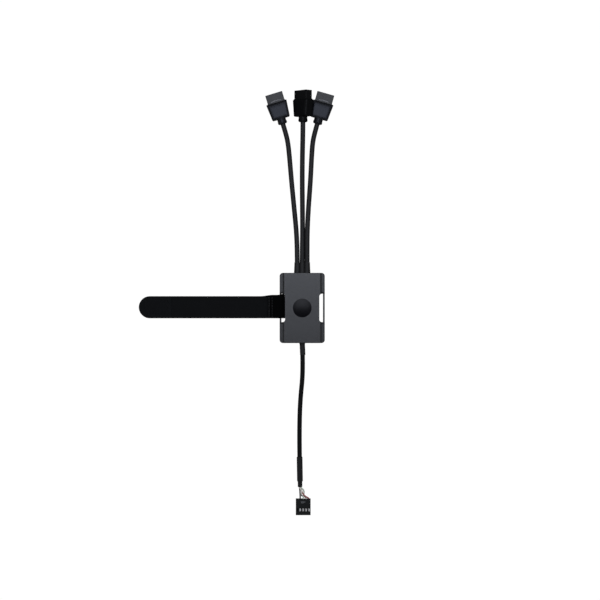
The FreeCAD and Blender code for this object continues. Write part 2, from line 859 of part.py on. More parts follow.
def strap():
    """The strap: flat along the surface, under and round the left bar, and back on top of itself."""
    half = strap_thickness / 2
    low = strap_layer_gap + half
    inside = -(slot_inner + strap_wall_clearance + half)
    over = bar_top + strap_over_clearance + half
    doubled = low + strap_thickness + strap_layer_gap
    fall_start = -(half_width + half)
    fall_end = fall_start - (over - doubled) / strap_fall_slope
    line = [
        (strap_tip_x, low),
        (inside, low),
        (inside, over),
        (fall_start, over),
        (fall_end, doubled),
        (strap_tail_x, doubled),
    ]
    path = route_wire([(x, strap_middle_y, z) for x, z in line], "strap")
    near = strap_middle_y - strap_width / 2
    far = strap_middle_y + strap_width / 2
    section = [(near, low - half), (far, low - half), (far, low + half), (near, low + half)]
    corners = [Vector(strap_tip_x, y, z) for y, z in section]
    band = swept(path, Part.makePolygon(corners + corners[:1]), strap_width * strap_thickness, "strap")
    outline = block((-strap_tip_x, strap_width, hub_height), (strap_tip_x / 2, strap_middle_y), 0)
    tip = [edge for edge in along(outline, "Z") if edge.CenterOfMass.x < strap_tip_x / 2]
    return band.common(outline.makeFillet((strap_width - strap_tip_flat) / 2, tip))


def build():
    """Every node of the part, by name."""
    cables = {
        "left_cable": tube(left_route, output_cable_diameter, "left cable"),
        "middle_cable": tube(middle_route, output_cable_diameter, "middle cable"),
        "right_cable": tube(right_route, output_cable_diameter, "right cable"),
        "input_cable": tube(input_route, input_cable_diameter, "input cable"),
    }
    leads = list(cables.values())
    wires = {
        "header_black_wire": header_wire(-1, -1, 1, "black wire"),
        "header_white_wire": header_wire(-1, 1, 2, "white wire"),
        "header_green_wire": header_wire(1, 1, 3, "green wire"),
        "header_red_wire": header_wire(1, -1, 4, "red wire"),
    }
    nodes = {
        "top_cover": top_cover(),
        "bottom_cover": bottom_cover(),
        "circuit_board": circuit_board(),
        "controller_chip": controller_chip(),
        "crystal": crystal(),
        "bulk_capacitors": bulk_capacitors(),
        "chip_capacitors": chip_capacitors(),
        "chip_resistors": chip_resistors(),
        "power_wires": conductors(0, leads),
        "data_minus_wires": conductors(1, leads),
        "data_plus_wires": conductors(2, leads),
        "ground_wires": conductors(3, leads),
        "solder_joints": solder_joints(),
        "output_boot": output_boot(leads),
        "input_boot": input_boot(cables["input_cable"]),
        "cable_sleeve": cable_sleeve(),
        "header_housing": header_housing(),
        "header_contacts": header_contacts(list(wires.values())),
        "strap": strap(),
    }
    nodes.update(cables)
    nodes.update(wires)
    nodes.update(plug("left", left_route, 0.0, cables["left_cable"]))
    nodes.update(plug("middle", middle_route, -middle_plug_roll, cables["middle_cable"]))
    nodes.update(plug("right", right_route, 0.0, cables["right_cable"]))
    return nodes


def main():
    os.makedirs("parts", exist_ok=True)
    for name, shape in build().items():
        shape.exportStep(f"parts/{name}.step")
        print(name, "solids", len(shape.Solids), "valid", shape.isValid(), "volume", round(shape.Volume, 2))


main()
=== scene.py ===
# %% [markdown]
# # Dressing an internal USB hub
# The hub is a flat moulded box with three short output leads, one input lead and a black hook-and-loop strap.
# Its solids come in as a fixed frame, in metres, with the origin in the middle of the box's flat base.
# This lesson gives every solid a finish, and models what solids are poor at: the leads and their thin wires,
# the strap with its hooks and stitches, the round badge on the deck and the pale beads, painted highlights,
# on two plugs.

# %% Load the frame
import math

import bpy
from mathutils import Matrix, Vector


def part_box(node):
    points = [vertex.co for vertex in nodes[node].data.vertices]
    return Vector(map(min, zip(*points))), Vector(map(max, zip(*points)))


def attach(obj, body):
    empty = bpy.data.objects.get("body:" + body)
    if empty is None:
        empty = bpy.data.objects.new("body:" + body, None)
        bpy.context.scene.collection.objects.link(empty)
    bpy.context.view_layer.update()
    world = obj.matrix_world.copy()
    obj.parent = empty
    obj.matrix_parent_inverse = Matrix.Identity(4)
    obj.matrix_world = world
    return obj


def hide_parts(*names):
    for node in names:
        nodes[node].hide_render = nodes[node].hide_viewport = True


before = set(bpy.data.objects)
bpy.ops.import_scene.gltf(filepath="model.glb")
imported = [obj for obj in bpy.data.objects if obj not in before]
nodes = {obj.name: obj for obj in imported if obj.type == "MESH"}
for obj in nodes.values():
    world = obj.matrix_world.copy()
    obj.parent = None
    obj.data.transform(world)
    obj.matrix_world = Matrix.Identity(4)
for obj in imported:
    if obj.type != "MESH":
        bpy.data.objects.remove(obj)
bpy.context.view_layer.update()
scene = bpy.context.scene

# %% [markdown]
# ## Camera
# The photograph looks straight down at the part, from far enough away that the box hardly shows its sides.
# A camera with no turn already looks along -Z with +Y at the top of the picture, so it only needs a place
# and a lens. One pixel of the photograph is a known size on the part, so the lens follows from the height.

# %% Place the camera
MILLI = 0.001
PHOTO_PIXELS = 600
PIXEL_SIZE = 0.856 * MILLI
HUB_PIXEL = (302.2, 307.95)
CAMERA_HEIGHT = 1.65
CAMERA_REACH = 20
MEASURED_HEIGHT = 5 * MILLI
SENSOR_WIDTH = 36.0


def place_of_pixel(x, y):
    """The place on the part, across and along, of a pixel of the photograph."""
    return (x - HUB_PIXEL[0]) * PIXEL_SIZE, (HUB_PIXEL[1] - y) * PIXEL_SIZE


view_centre = place_of_pixel(PHOTO_PIXELS / 2, PHOTO_PIXELS / 2)
bpy.ops.object.camera_add(location=(*view_centre, CAMERA_HEIGHT), rotation=(0, 0, 0))
camera = bpy.context.object
camera.data.sensor_width = SENSOR_WIDTH
camera.data.lens = SENSOR_WIDTH * (CAMERA_HEIGHT - MEASURED_HEIGHT) / (PHOTO_PIXELS * PIXEL_SIZE)
camera.data.clip_end = CAMERA_REACH
scene.camera = camera
print("lens", round(camera.data.lens, 1), "mm over", [round(x, 4) for x in view_centre])

# %% [markdown]
# ## Floor and surroundings
# The photograph has a pure white ground with no shadow, and yet the sides of the leads are nearly black, so
# the ground throws almost no light back. A floor that glows evenly and reflects nothing has no shadows. It
# glows just enough to be white, because a brighter floor eats into the edges of the part. Hiding it from
# diffuse and glossy rays keeps its light off the part, as a cut-out background does.

# %% Make the floor
FLOOR_SIZE = 12.0
FLOOR_DROP = 0.2 * MILLI
FLOOR_GLOW = 1.02


def start_piece():
    """Deselect everything, so that the next operator acts on the new piece alone."""
    if bpy.context.object and bpy.context.object.mode != "OBJECT":
        bpy.ops.object.mode_set(mode="OBJECT")
    bpy.ops.object.select_all(action="DESELECT")


start_piece()
bpy.ops.mesh.primitive_plane_add(size=FLOOR_SIZE, location=(0, 0, -FLOOR_DROP))
floor = bpy.context.object
floor.name = "floor"
bpy.ops.object.transform_apply(location=True)
floor.visible_diffuse = False
floor.visible_glossy = False

floor_finish = bpy.data.materials.new("white ground")
floor_finish.use_nodes = True
floor_shader = floor_finish.node_tree.nodes["Principled BSDF"]
floor_shader.inputs["Base Color"].default_value = (0, 0, 0, 1)
floor_shader.inputs["Roughness"].default_value = 1.0
floor_shader.inputs["Specular IOR Level"].default_value = 0.0
floor_shader.inputs["Emission Color"].default_value = (1, 1, 1, 1)
floor_shader.inputs["Emission Strength"].default_value = FLOOR_GLOW
floor.data.materials.append(floor_finish)
print("floor", FLOOR_SIZE, "m")

# %% [markdown]
# The surroundings are what black plastic mirrors when it is seen from the side. A face that lies flat then
# mirrors what stands as high above the horizon as the camera does, so the surroundings are lighter in a band
# there, as a ring of pale screens would be. The top of the room stays dark, and so does the foot of the ring,
# because the photograph's slopes, which mirror the horizon, are black. The camera itself sees only white.

# %% Make the surroundings
ROOM_HEIGHTS = {0.0: 0.15, 0.08: 0.1, 0.22: 0.7, 0.6: 0.7, 0.8: 0.04}
NEW_STOP = 0.5

world = bpy.data.worlds.new("studio")
world.use_nodes = True
scene.world = world
sky = world.node_tree.nodes
sky_links = world.node_tree.links
direction = sky.new("ShaderNodeTexCoord")
height = sky.new("ShaderNodeSeparateXYZ")
ring = sky.new("ShaderNodeValToRGB")
stops = ring.color_ramp.elements
while len(stops) < len(ROOM_HEIGHTS):
    stops.new(NEW_STOP)
for stop, (position, light) in zip(stops, ROOM_HEIGHTS.items()):
    stop.position = position
    stop.color = (light, light, light, 1)
room = sky["Background"]
backdrop = sky.new("ShaderNodeBackground")
backdrop.inputs["Color"].default_value = (1, 1, 1, 1)
seen = sky.new("ShaderNodeLightPath")
choose = sky.new("ShaderNodeMixShader")
sky_links.new(direction.outputs["Generated"], height.inputs["Vector"])
sky_links.new(height.outputs["Z"], ring.inputs["Fac"])
sky_links.new(ring.outputs["Color"], room.inputs["Color"])
sky_links.new(seen.outputs["Is Camera Ray"], choose.inputs["Fac"])
sky_links.new(room.outputs["Background"], choose.inputs[1])
sky_links.new(backdrop.outputs["Background"], choose.inputs[2])
sky_links.new(choose.outputs["Shader"], sky["World Output"].inputs["Surface"])
scene.view_settings.view_transform = "Standard"
print("surroundings", ROOM_HEIGHTS)

# %% [markdown]
# ## Light
# Flat faces are grey, and faces tilted by half a right angle are black. So nearly all the light comes from
# one wide soft source overhead, and what shows is its reflection in black plastic. The plugs at the far end
# are lighter than the socket at the near end, so the source hangs low, with its near edge above the box.
# The camera looks down through the light, so the camera doesn't see it.

# %% Hang the softbox
SOFTBOX_SIZE = (0.328, 0.373)
SOFTBOX_PLACE = (-0.004, 0.1985, 0.45)
SOFTBOX_POWER = 1.45
SOFTBOX_TINT = (0.92, 0.965, 1.08)

bpy.ops.object.light_add(type="AREA", location=SOFTBOX_PLACE, rotation=(0, 0, 0))
softbox = bpy.context.object
softbox.name = "softbox"
softbox.data.shape = "RECTANGLE"
softbox.data.size, softbox.data.size_y = SOFTBOX_SIZE
softbox.data.energy = SOFTBOX_POWER
softbox.data.color = SOFTBOX_TINT
softbox.visible_camera = False
print("softbox", SOFTBOX_SIZE, "m at", SOFTBOX_PLACE)

# %% [markdown]
# ## Leads
# Each lead is a limp round cable that leaves its strain relief straight, sinks to the table and runs to its
# plug or sleeve. A smooth spline with a round bevel gives an even thickness with no kinks. The control points
# are the points of the solid's route, so the lead lies where the solid lies.

# %% Lay the leads
OUTPUT_DIAMETER = 4.2 * MILLI
INPUT_DIAMETER = 4.0 * MILLI
LEAD_ORDER = 3
LEAD_STEPS = 12
LEAD_SIDES = 6

OUTPUT_ROUTES = {
    "left": [
        (-0.00423, 0.026, 0.005),
        (-0.00423, 0.048, 0.005),
        (-0.005, 0.0662, 0.00215),
        (-0.007, 0.0865, 0.00215),
        (-0.0092, 0.109, 0.00215),
        (-0.01095, 0.13, 0.00215),
        (-0.0123, 0.1425, 0.0029),
        (-0.0146, 0.1513, 0.0046),
        (-0.0173, 0.1601, 0.0046),
    ],
    "middle": [
        (0.0, 0.026, 0.005),
        (0.0, 0.048, 0.005),
        (0.00035, 0.0662, 0.00215),
        (0.0002, 0.088, 0.00215),
        (0.0, 0.1095, 0.00215),
        (0.00015, 0.129, 0.0034),
        (0.00045, 0.1425, 0.0066),
        (0.0006, 0.1523, 0.008979),
        (0.00065, 0.1615, 0.008979),
    ],
    "right": [
        (0.00423, 0.026, 0.005),
        (0.00423, 0.048, 0.005),
        (0.00433, 0.0662, 0.0043),
        (0.0054, 0.0865, 0.00215),
        (0.0071, 0.109, 0.00215),
        (0.0081, 0.13, 0.00215),
        (0.009, 0.1425, 0.0029),
        (0.0111, 0.1513, 0.0046),
        (0.0136, 0.1601, 0.0046),
    ],
}
INPUT_ROUTE = [
    (-0.00015, -0.026, 0.005),
    (0.001, -0.0524, 0.005),
    (-0.0017, -0.079, 0.00205),
    (-0.00235, -0.1005, 0.00205),
    (-0.0023, -0.1243, 0.0025),
    (-0.0019, -0.1481, 0.0025),
]


def lay_lead(name, route, diameter):
    """A round lead on a smooth line with the route's points as its control points."""
    curve = bpy.data.curves.new(name, "CURVE")
    curve.dimensions = "3D"
    spline = curve.splines.new("NURBS")
    spline.points.add(len(route) - 1)
    for point, place in zip(spline.points, route):
        point.co = (*place, 1)
    spline.order_u = LEAD_ORDER
    spline.use_endpoint_u = True
    spline.resolution_u = LEAD_STEPS
    curve.bevel_depth = diameter / 2
    curve.bevel_resolution = LEAD_SIDES
    curve.use_fill_caps = True
    lead = bpy.data.objects.new(name, curve)
    scene.collection.objects.link(lead)
    return lead


output_leads = {}
for side, route in OUTPUT_ROUTES.items():
    output_leads[side] = lay_lead(f"{side}_lead", route, OUTPUT_DIAMETER)
input_lead = lay_lead("input_lead", INPUT_ROUTE, INPUT_DIAMETER)
print("leads", [lead.name for lead in (*output_leads.values(), input_lead)])

# %% [markdown]
# Four thin wires leave the sleeve at the end of the input lead. They are laid as the leads are, on smooth
# splines. Black runs nearly straight to the first contact, and green bows out to the right before it turns
# back to the second. White dips under green to the third, and red rises between them and crosses over green
# to the last.

# %% Lay the four wires
WIRE_DIAMETER = 1.2 * MILLI

WIRE_ROUTES = {
    "black": [
        (-0.00265, -0.1481, 0.00175),
        (-0.00245, -0.1532, 0.0017),
        (-0.00205, -0.1555, 0.0017),
        (-0.00192, -0.158, 0.0019),
        (-0.00178, -0.1614, 0.0033),
        (-0.00168, -0.1634, 0.00381),
        (-0.00168, -0.1674, 0.00381),
    ],
    "white": [
        (-0.00265, -0.1481, 0.00325),
        (-0.00255, -0.1538, 0.0033),
        (-0.0008, -0.1554, 0.00455),
        (-0.0005, -0.1578, 0.0044),
        (-0.0007, -0.16, 0.0033),
        (-0.0004, -0.1612, 0.0016),
        (0.0013, -0.1618, 0.0014),
        (0.0032, -0.1624, 0.0026),
        (0.0034, -0.1633, 0.0038),
        (0.0034, -0.165, 0.00381),
        (0.0034, -0.1674, 0.00381),
    ],
    "green": [
        (-0.00115, -0.1481, 0.00325),
        (-0.00115, -0.1532, 0.00325),
        (-0.0005, -0.1546, 0.0033),
        (0.0011, -0.1556, 0.0031),
        (0.0017, -0.158, 0.0023),
        (0.0012, -0.1604, 0.0023),
        (0.00086, -0.1624, 0.00375),
        (0.00086, -0.1674, 0.00381),
    ],
    "red": [
        (-0.00115, -0.1481, 0.00175),
        (-0.0011, -0.1532, 0.00175),
        (-0.0007, -0.1555, 0.0016),
        (-0.0003, -0.1574, 0.0016),
        (0.0004, -0.1589, 0.0029),
        (0.0016, -0.1603, 0.0046),
        (0.0032, -0.1616, 0.0045),
        (0.0056, -0.1629, 0.004),
        (0.00594, -0.1639, 0.00385),
        (0.00594, -0.1655, 0.00381),
        (0.00594, -0.1674, 0.00381),
    ],
}

wires = {colour: lay_lead(f"{colour}_wire", route, WIRE_DIAMETER) for colour, route in WIRE_ROUTES.items()}
print("wires", list(wires))

# %% [markdown]
# ## Strap
# The strap is a woven tape with soft loops on its upper face. It runs from a round tip under the bar at the
# side of the box, up through the slot, over the bar and back on top of itself. A tape like this is one strip,
# so it starts as a flat grid. Its ends are grown row by row: the tip by narrower and narrower rows, and the
# turn round the bar by spinning the last row about the centre of each bend.

# %% Start the tape as a flat grid
strap_low, strap_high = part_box("strap")
TAPE_THICKNESS = 1.5 * MILLI
TAPE_GAP = 0.05 * MILLI
TAPE_COLUMNS = 16
TAPE_ROW = 2.5 * MILLI
BAR_TURN = 2.18 * MILLI
WALL_CLEARANCE = 0.1 * MILLI
tape_middle = (strap_low.y + strap_high.y) / 2
tape_width = strap_high.y - strap_low.y
tape_low = TAPE_GAP + TAPE_THICKNESS / 2
tip_centre = strap_low.x + tape_width / 2
turn_start = strap_high.x + WALL_CLEARANCE - TAPE_THICKNESS / 2 - BAR_TURN


def strip(name, start_x, end_x, width, height):
    """A flat strip along X: a grid at its size and place."""
    length = end_x - start_x
    start_piece()
    bpy.ops.mesh.primitive_grid_add(
        x_subdivisions=round(length / TAPE_ROW),
        y_subdivisions=TAPE_COLUMNS,
        size=1,
        location=((start_x + end_x) / 2, tape_middle, height),
    )
    piece = bpy.context.object
    piece.name = name
    piece.scale = (length, width, 1)
    bpy.ops.object.transform_apply(location=True, scale=True)
    return piece


tape = strip("strap_tape", tip_centre, turn_start, tape_width, tape_low)
print("tape", round(turn_start - tip_centre, 4), "by", round(tape_width, 4))

# %% Grow the round tip
TIP_STEPS = 10
TIP_BLUNTNESS = 0.02
SAME_PLACE = 1e-6


def clear_selection(kind):
    """Select nothing in the active mesh, so that vertices or edges can then be chosen in object mode."""
    bpy.ops.object.mode_set(mode="EDIT")
    bpy.ops.mesh.select_mode(type=kind)
    bpy.ops.mesh.select_all(action="DESELECT")
    bpy.ops.object.mode_set(mode="OBJECT")


def select_row(piece, x):
    """Select the row of vertices across a strip at one place along it, in edit mode."""
    clear_selection("VERT")
    for vertex in piece.data.vertices:
        vertex.select = abs(vertex.co.x - x) < SAME_PLACE
    bpy.ops.object.mode_set(mode="EDIT")


def grow(offset):
    """Extrude the selected row by an offset."""
    bpy.ops.mesh.extrude_region_move(TRANSFORM_OT_translate={"value": offset})


def widen(factor, place):
    """Scale the selected row across the tape."""
    bpy.ops.transform.resize(value=(1, factor, 1), center_override=place)


def round_tip(piece, centre_x, radius, height):
    """Grow a half-round end from a strip's first row, by narrower and narrower rows."""
    select_row(piece, centre_x)
    reach, half = 0.0, radius
    for step in range(1, TIP_STEPS + 1):
        angle = math.pi / 2 * step / TIP_STEPS
        next_reach = radius * math.sin(angle)
        next_half = radius * max(math.cos(angle), TIP_BLUNTNESS)
        grow((reach - next_reach, 0, 0))
        widen(next_half / half, (centre_x - next_reach, tape_middle, height))
        reach, half = next_reach, next_half
    bpy.ops.object.mode_set(mode="OBJECT")


round_tip(tape, tip_centre, tape_width / 2, tape_low)
print("tip from", round(strap_low.x, 4), "to", round(tip_centre, 4))

# %% Turn the tape up through the slot and over the bar
BACK_TURN = 2.0475 * MILLI
QUARTER_TURN = 90
TURN_STEPS = 8
tape_over = strap_high.z - TAPE_THICKNESS / 2
inside = turn_start + BAR_TURN
rise = tape_over - tape_low - BAR_TURN - BACK_TURN


def turn(centre_x, centre_z, degrees, steps):
    """Spin the selected row about a line across the tape."""
    bpy.ops.mesh.spin(
        steps=steps,
        angle=math.radians(degrees),
        center=(centre_x, tape_middle, centre_z),
        axis=(0, 1, 0),
    )


select_row(tape, turn_start)
turn(turn_start, tape_low + BAR_TURN, QUARTER_TURN, TURN_STEPS)
grow((0, 0, rise))
turn(inside - BACK_TURN, tape_over - BACK_TURN, QUARTER_TURN, TURN_STEPS)
print("tape rises", round(rise, 5), "to", round(tape_over, 5))

# %% Bring the tail down on to the tape
TOP_RUN = 0.455 * MILLI
FALL_ANGLE = 31.8
FALL_TURN = 7.19 * MILLI
LAND_TURN = 6.2 * MILLI
FALL_STEPS = 4
FOLD_AT = 110.9 * MILLI
tail_end = strap_low.x + FOLD_AT
fall = math.radians(FALL_ANGLE)
tape_tail = tape_low + TAPE_THICKNESS + TAPE_GAP
fall_run = (tape_over - tape_tail - (FALL_TURN + LAND_TURN) * (1 - math.cos(fall))) / math.tan(fall)
fall_start = inside - BACK_TURN - TOP_RUN
land_x = fall_start - (FALL_TURN + LAND_TURN) * math.sin(fall) - fall_run

grow((-TOP_RUN, 0, 0))
turn(fall_start, tape_over - FALL_TURN, FALL_ANGLE, FALL_STEPS)
grow((-fall_run, 0, -fall_run * math.tan(fall)))
turn(land_x, tape_tail + LAND_TURN, -FALL_ANGLE, FALL_STEPS)
grow((tail_end - land_x, 0, 0))
bpy.ops.object.mode_set(mode="OBJECT")
print("tail from", round(land_x, 5), "to", round(tail_end, 5))

# %% [markdown]
# The real tape doesn't sit quite straight. It creeps towards one end of its bar and spreads a little there.
# So each vertex moves across by a share of the creep, which grows smoothly towards the bar. In the slot it
# lies against the wall of the box, and the edge that meets the slot's round corner curls away from it.

# %% Let the tape sit askew on its bar
BAR_CREEP = 0.95 * MILLI
BAR_SPREAD = 0.095
FOLD_SHARE = 0.6
FOLD_CREEP = (-36 * MILLI, -25 * MILLI)
SLOT_CREEP = (-20.5 * MILLI, -17.5 * MILLI)
SLOT_END = 12.2 * MILLI
SLOT_CORNER = 2.4 * MILLI
CORNER_PLAY = 0.15 * MILLI


def smooth_step(x, start, end):
    """A smooth rise from 0 to 1 between two places along the tape."""
    share = min(max((x - start) / (end - start), 0.0), 1.0)
    return share * share * (3 - 2 * share)


def creep_share(x):
    """The share of the tape's creep at a place along it: some at its fold, and all of it in the slot."""
    return FOLD_SHARE * smooth_step(x, *FOLD_CREEP) + (1 - FOLD_SHARE) * smooth_step(x, *SLOT_CREEP)


def corner_limit(y):
    """How far the middle of the tape may reach towards the box, at a place across the slot."""
    into_corner = min(max(y - SLOT_END + SLOT_CORNER, 0.0), SLOT_CORNER)
    return inside - SLOT_CORNER + math.sqrt(SLOT_CORNER**2 - into_corner**2)


for vertex in tape.data.vertices:
    share = creep_share(vertex.co.x)
    across = (vertex.co.y - tape_middle) * (1 + BAR_SPREAD * share)
    vertex.co.y = tape_middle + across + BAR_CREEP * share
    vertex.co.x = min(vertex.co.x, corner_limit(vertex.co.y + CORNER_PLAY))
print("tape creeps", BAR_CREEP, "m at its bar")

# %% [markdown]
# The strip becomes a tape with a Solidify modifier, which gives it thickness on both sides of the line that
# was modelled. The tape has loops on one face and a plain weave on the other, which shows where the tail is
# folded back. Solidify can give the second face the next material slot, so the tape gets two empty slots
# first. A small bevel rounds its cut edges.

# %% Give the tape its thickness and its two faces
TAPE_EDGE = 0.4 * MILLI
TAPE_EDGE_STEPS = 3
TAPE_EDGE_ANGLE = math.radians(50)
TAPE_SMOOTH_ANGLE = math.radians(40)
LOOP_SLOT = 0
WEAVE_SLOT = 1


def pick(piece):
    """Select one piece alone, and make it the active one."""
    start_piece()
    bpy.context.view_layer.objects.active = piece
    piece.select_set(True)


def apply_modifier(piece, kind, **settings):
    """Add a modifier with its settings to a piece, and apply it."""
    pick(piece)
    modifier = piece.modifiers.new(kind.lower(), kind)
    for name, value in settings.items():
        setattr(modifier, name, value)
    bpy.ops.object.modifier_apply(modifier=modifier.name)


def merge(piece):
    """Merge the doubles of a closed piece, and point its faces outwards."""
    pick(piece)
    bpy.ops.object.mode_set(mode="EDIT")
    bpy.ops.mesh.select_all(action="SELECT")
    bpy.ops.mesh.remove_doubles(threshold=SAME_PLACE)
    bpy.ops.mesh.normals_make_consistent(inside=False)
    bpy.ops.object.mode_set(mode="OBJECT")


tape.data.materials.append(None)
tape.data.materials.append(None)
apply_modifier(
    tape,
    "SOLIDIFY",
    thickness=TAPE_THICKNESS,
    offset=0.0,
    use_even_offset=True,
    material_offset=WEAVE_SLOT,
)
apply_modifier(
    tape,
    "BEVEL",
    width=TAPE_EDGE,
    segments=TAPE_EDGE_STEPS,
    limit_method="ANGLE",
    angle_limit=TAPE_EDGE_ANGLE,
)
merge(tape)
bpy.ops.object.shade_smooth_by_angle(angle=TAPE_SMOOTH_ANGLE)
weave_faces = [face for face in tape.data.polygons if face.material_index == WEAVE_SLOT]
print("tape faces", len(tape.data.polygons), "woven", len(weave_faces))

# %% [markdown]
# ## Hook patch
# The tip carries a patch of stiff hooks that grips the loops. The patch is a thin plate with the outline of
# the tip. One hook is modelled: a six-sided stem that ends in a spun curl. It has few faces, because it is
# copied some hundreds of times with two Array modifiers. Hooks that stand outside the round tip are deleted.

# %% Make the plate of the patch
PATCH_LENGTH = 27.8 * MILLI
PATCH_MARGIN = 0.5 * MILLI
PATCH_THICKNESS = 0.25 * MILLI
PATCH_EDGE = PATCH_THICKNESS / 3
PATCH_EDGE_STEPS = 2
tape_top = tape_low + TAPE_THICKNESS / 2
patch_end = strap_low.x + PATCH_LENGTH
patch_radius = tape_width / 2 - PATCH_MARGIN

patch = strip("hook_patch", tip_centre, patch_end, 2 * patch_radius, tape_top)
round_tip(patch, tip_centre, patch_radius, tape_top)
merge(patch)
apply_modifier(patch, "SOLIDIFY", thickness=PATCH_THICKNESS, offset=1.0)
apply_modifier(patch, "BEVEL", width=PATCH_EDGE, segments=PATCH_EDGE_STEPS, limit_method="ANGLE")
merge(patch)
patch_top = max(vertex.co.z for vertex in patch.data.vertices)
print("patch top", round(patch_top, 5))

# %% Model one hook
HOOK_RADIUS = 0.12 * MILLI
HOOK_SIDES = 6
HOOK_STEM = 0.45 * MILLI
HOOK_CURL = 0.22 * MILLI
HOOK_BEND = 150
HOOK_STEPS = 4
HOOK_SPACING = (1.3 * MILLI, 1.05 * MILLI)
HOOK_ROWS = 21
HOOK_COLUMNS = 17
hook_x = strap_low.x + PATCH_MARGIN + HOOK_SPACING[0] / 2
hook_y = tape_middle - HOOK_SPACING[1] * (HOOK_COLUMNS - 1) / 2

start_piece()
bpy.ops.mesh.primitive_circle_add(
    vertices=HOOK_SIDES, radius=HOOK_RADIUS, fill_type="NGON", location=(hook_x, hook_y, patch_top)
)
hooks = bpy.context.object
hooks.name = "hooks"
bpy.ops.object.transform_apply(location=True)
bpy.ops.object.mode_set(mode="EDIT")
bpy.ops.mesh.select_all(action="SELECT")
grow((0, 0, HOOK_STEM))
bpy.ops.mesh.spin(
    steps=HOOK_STEPS,
    angle=math.radians(HOOK_BEND),
    center=(hook_x + HOOK_CURL, hook_y, patch_top + HOOK_STEM),
    axis=(0, -1, 0),
)
bpy.ops.object.mode_set(mode="OBJECT")
print("faces of one hook", len(hooks.data.polygons))

# %% Copy the hooks over the patch
def repeat(piece, count, offset):
    """Copy a piece along a line with an Array modifier."""
    apply_modifier(
        piece,
        "ARRAY",
        count=count,
        use_relative_offset=False,
        use_constant_offset=True,
        constant_offset_displace=offset,
    )


repeat(hooks, HOOK_ROWS, (HOOK_SPACING[0], 0, 0))
repeat(hooks, HOOK_COLUMNS, (0, HOOK_SPACING[1], 0))
print("hook faces", len(hooks.data.polygons))

# %% Trim the hooks to the tip and join them to the plate
def hook_stands_on_patch(place):
    """Whether a hook with a vertex here stands on the patch."""
    column = round((place.y - hook_y) / HOOK_SPACING[1])
    row = round((place.x - hook_x - HOOK_CURL) / HOOK_SPACING[0])
    across = hook_y + column * HOOK_SPACING[1] - tape_middle
    along = hook_x + row * HOOK_SPACING[0]
    room_across = patch_radius - 2 * HOOK_RADIUS
    if along > tip_centre:
        return abs(across) < room_across and along + 2 * HOOK_CURL < patch_end
    return math.hypot(along - tip_centre, across) < room_across


clear_selection("VERT")
for vertex in hooks.data.vertices:
    vertex.select = not hook_stands_on_patch(vertex.co)
bpy.ops.object.mode_set(mode="EDIT")
bpy.ops.mesh.delete(type="VERT")
bpy.ops.object.mode_set(mode="OBJECT")
merge(hooks)
pick(patch)
hooks.select_set(True)
bpy.ops.object.join()
bpy.ops.object.shade_smooth_by_angle(angle=TAPE_SMOOTH_ANGLE)
print("patch faces", len(patch.data.polygons))

# %% [markdown]
# ## Stitches
# The tail is sewn down near its end. A lockstitch is a short bar of thread whose ends dip into the tape, so
# one stitch starts as a six-sided rod, is subdivided along its length, and has its ends pushed down. Two rows
# of copies across the tape make the seam.

# %% Sew the tail down
STITCH_RADIUS = 0.2 * MILLI
STITCH_SIDES = 6
STITCH_LENGTH = 1.9 * MILLI
STITCH_CUTS = 4
STITCH_PITCH = 2.2 * MILLI
STITCH_COUNT = 8
STITCH_DIP = 0.25 * MILLI
STITCH_SMOOTH_ANGLE = math.radians(50)
SEAM_ROWS = 2
SEAM_GAP = 2.7 * MILLI
SEAM_MARGIN = 0.9 * MILLI
seam_x = tail_end + SEAM_MARGIN
seam_y = tape_middle - STITCH_PITCH * (STITCH_COUNT - 1) / 2
seam_z = tape_tail + TAPE_THICKNESS / 2 + STITCH_RADIUS / 2

start_piece()
bpy.ops.mesh.primitive_cylinder_add(
    vertices=STITCH_SIDES,
    radius=STITCH_RADIUS,
    depth=STITCH_LENGTH,
    location=(seam_x, seam_y, seam_z),
    rotation=(math.pi / 2, 0, 0),
)
stitches = bpy.context.object
stitches.name = "strap_stitches"
bpy.ops.object.transform_apply(location=True, rotation=True)
clear_selection("EDGE")
for edge in stitches.data.edges:
    ends = [stitches.data.vertices[index].co.y for index in edge.vertices]
    edge.select = abs(ends[0] - ends[1]) > STITCH_LENGTH / 2
bpy.ops.object.mode_set(mode="EDIT")
bpy.ops.mesh.subdivide(number_cuts=STITCH_CUTS)
bpy.ops.object.mode_set(mode="OBJECT")
for vertex in stitches.data.vertices:
    along = abs(vertex.co.y - seam_y) / (STITCH_LENGTH / 2)
    vertex.co.z -= STITCH_DIP * along**3
repeat(stitches, STITCH_COUNT, (0, STITCH_PITCH, 0))
repeat(stitches, SEAM_ROWS, (SEAM_GAP, 0, 0))
bpy.ops.object.shade_smooth_by_angle(angle=STITCH_SMOOTH_ANGLE)
print("stitch faces", len(stitches.data.polygons))

# %% [markdown]
# ## Badge
# The real deck carries a round badge. Here it is a plain gloss disc: a circle, pushed up a little and
# bevelled, so that its rim catches a thin line of light.

# %% Make the badge
BADGE_RADIUS = 8.0 * MILLI
BADGE_SIDES = 96
BADGE_HEIGHT = 0.15 * MILLI
BADGE_EDGE = 0.08 * MILLI
BADGE_EDGE_STEPS = 2
BADGE_SMOOTH_ANGLE = math.radians(30)
deck_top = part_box("top_cover")[1].z

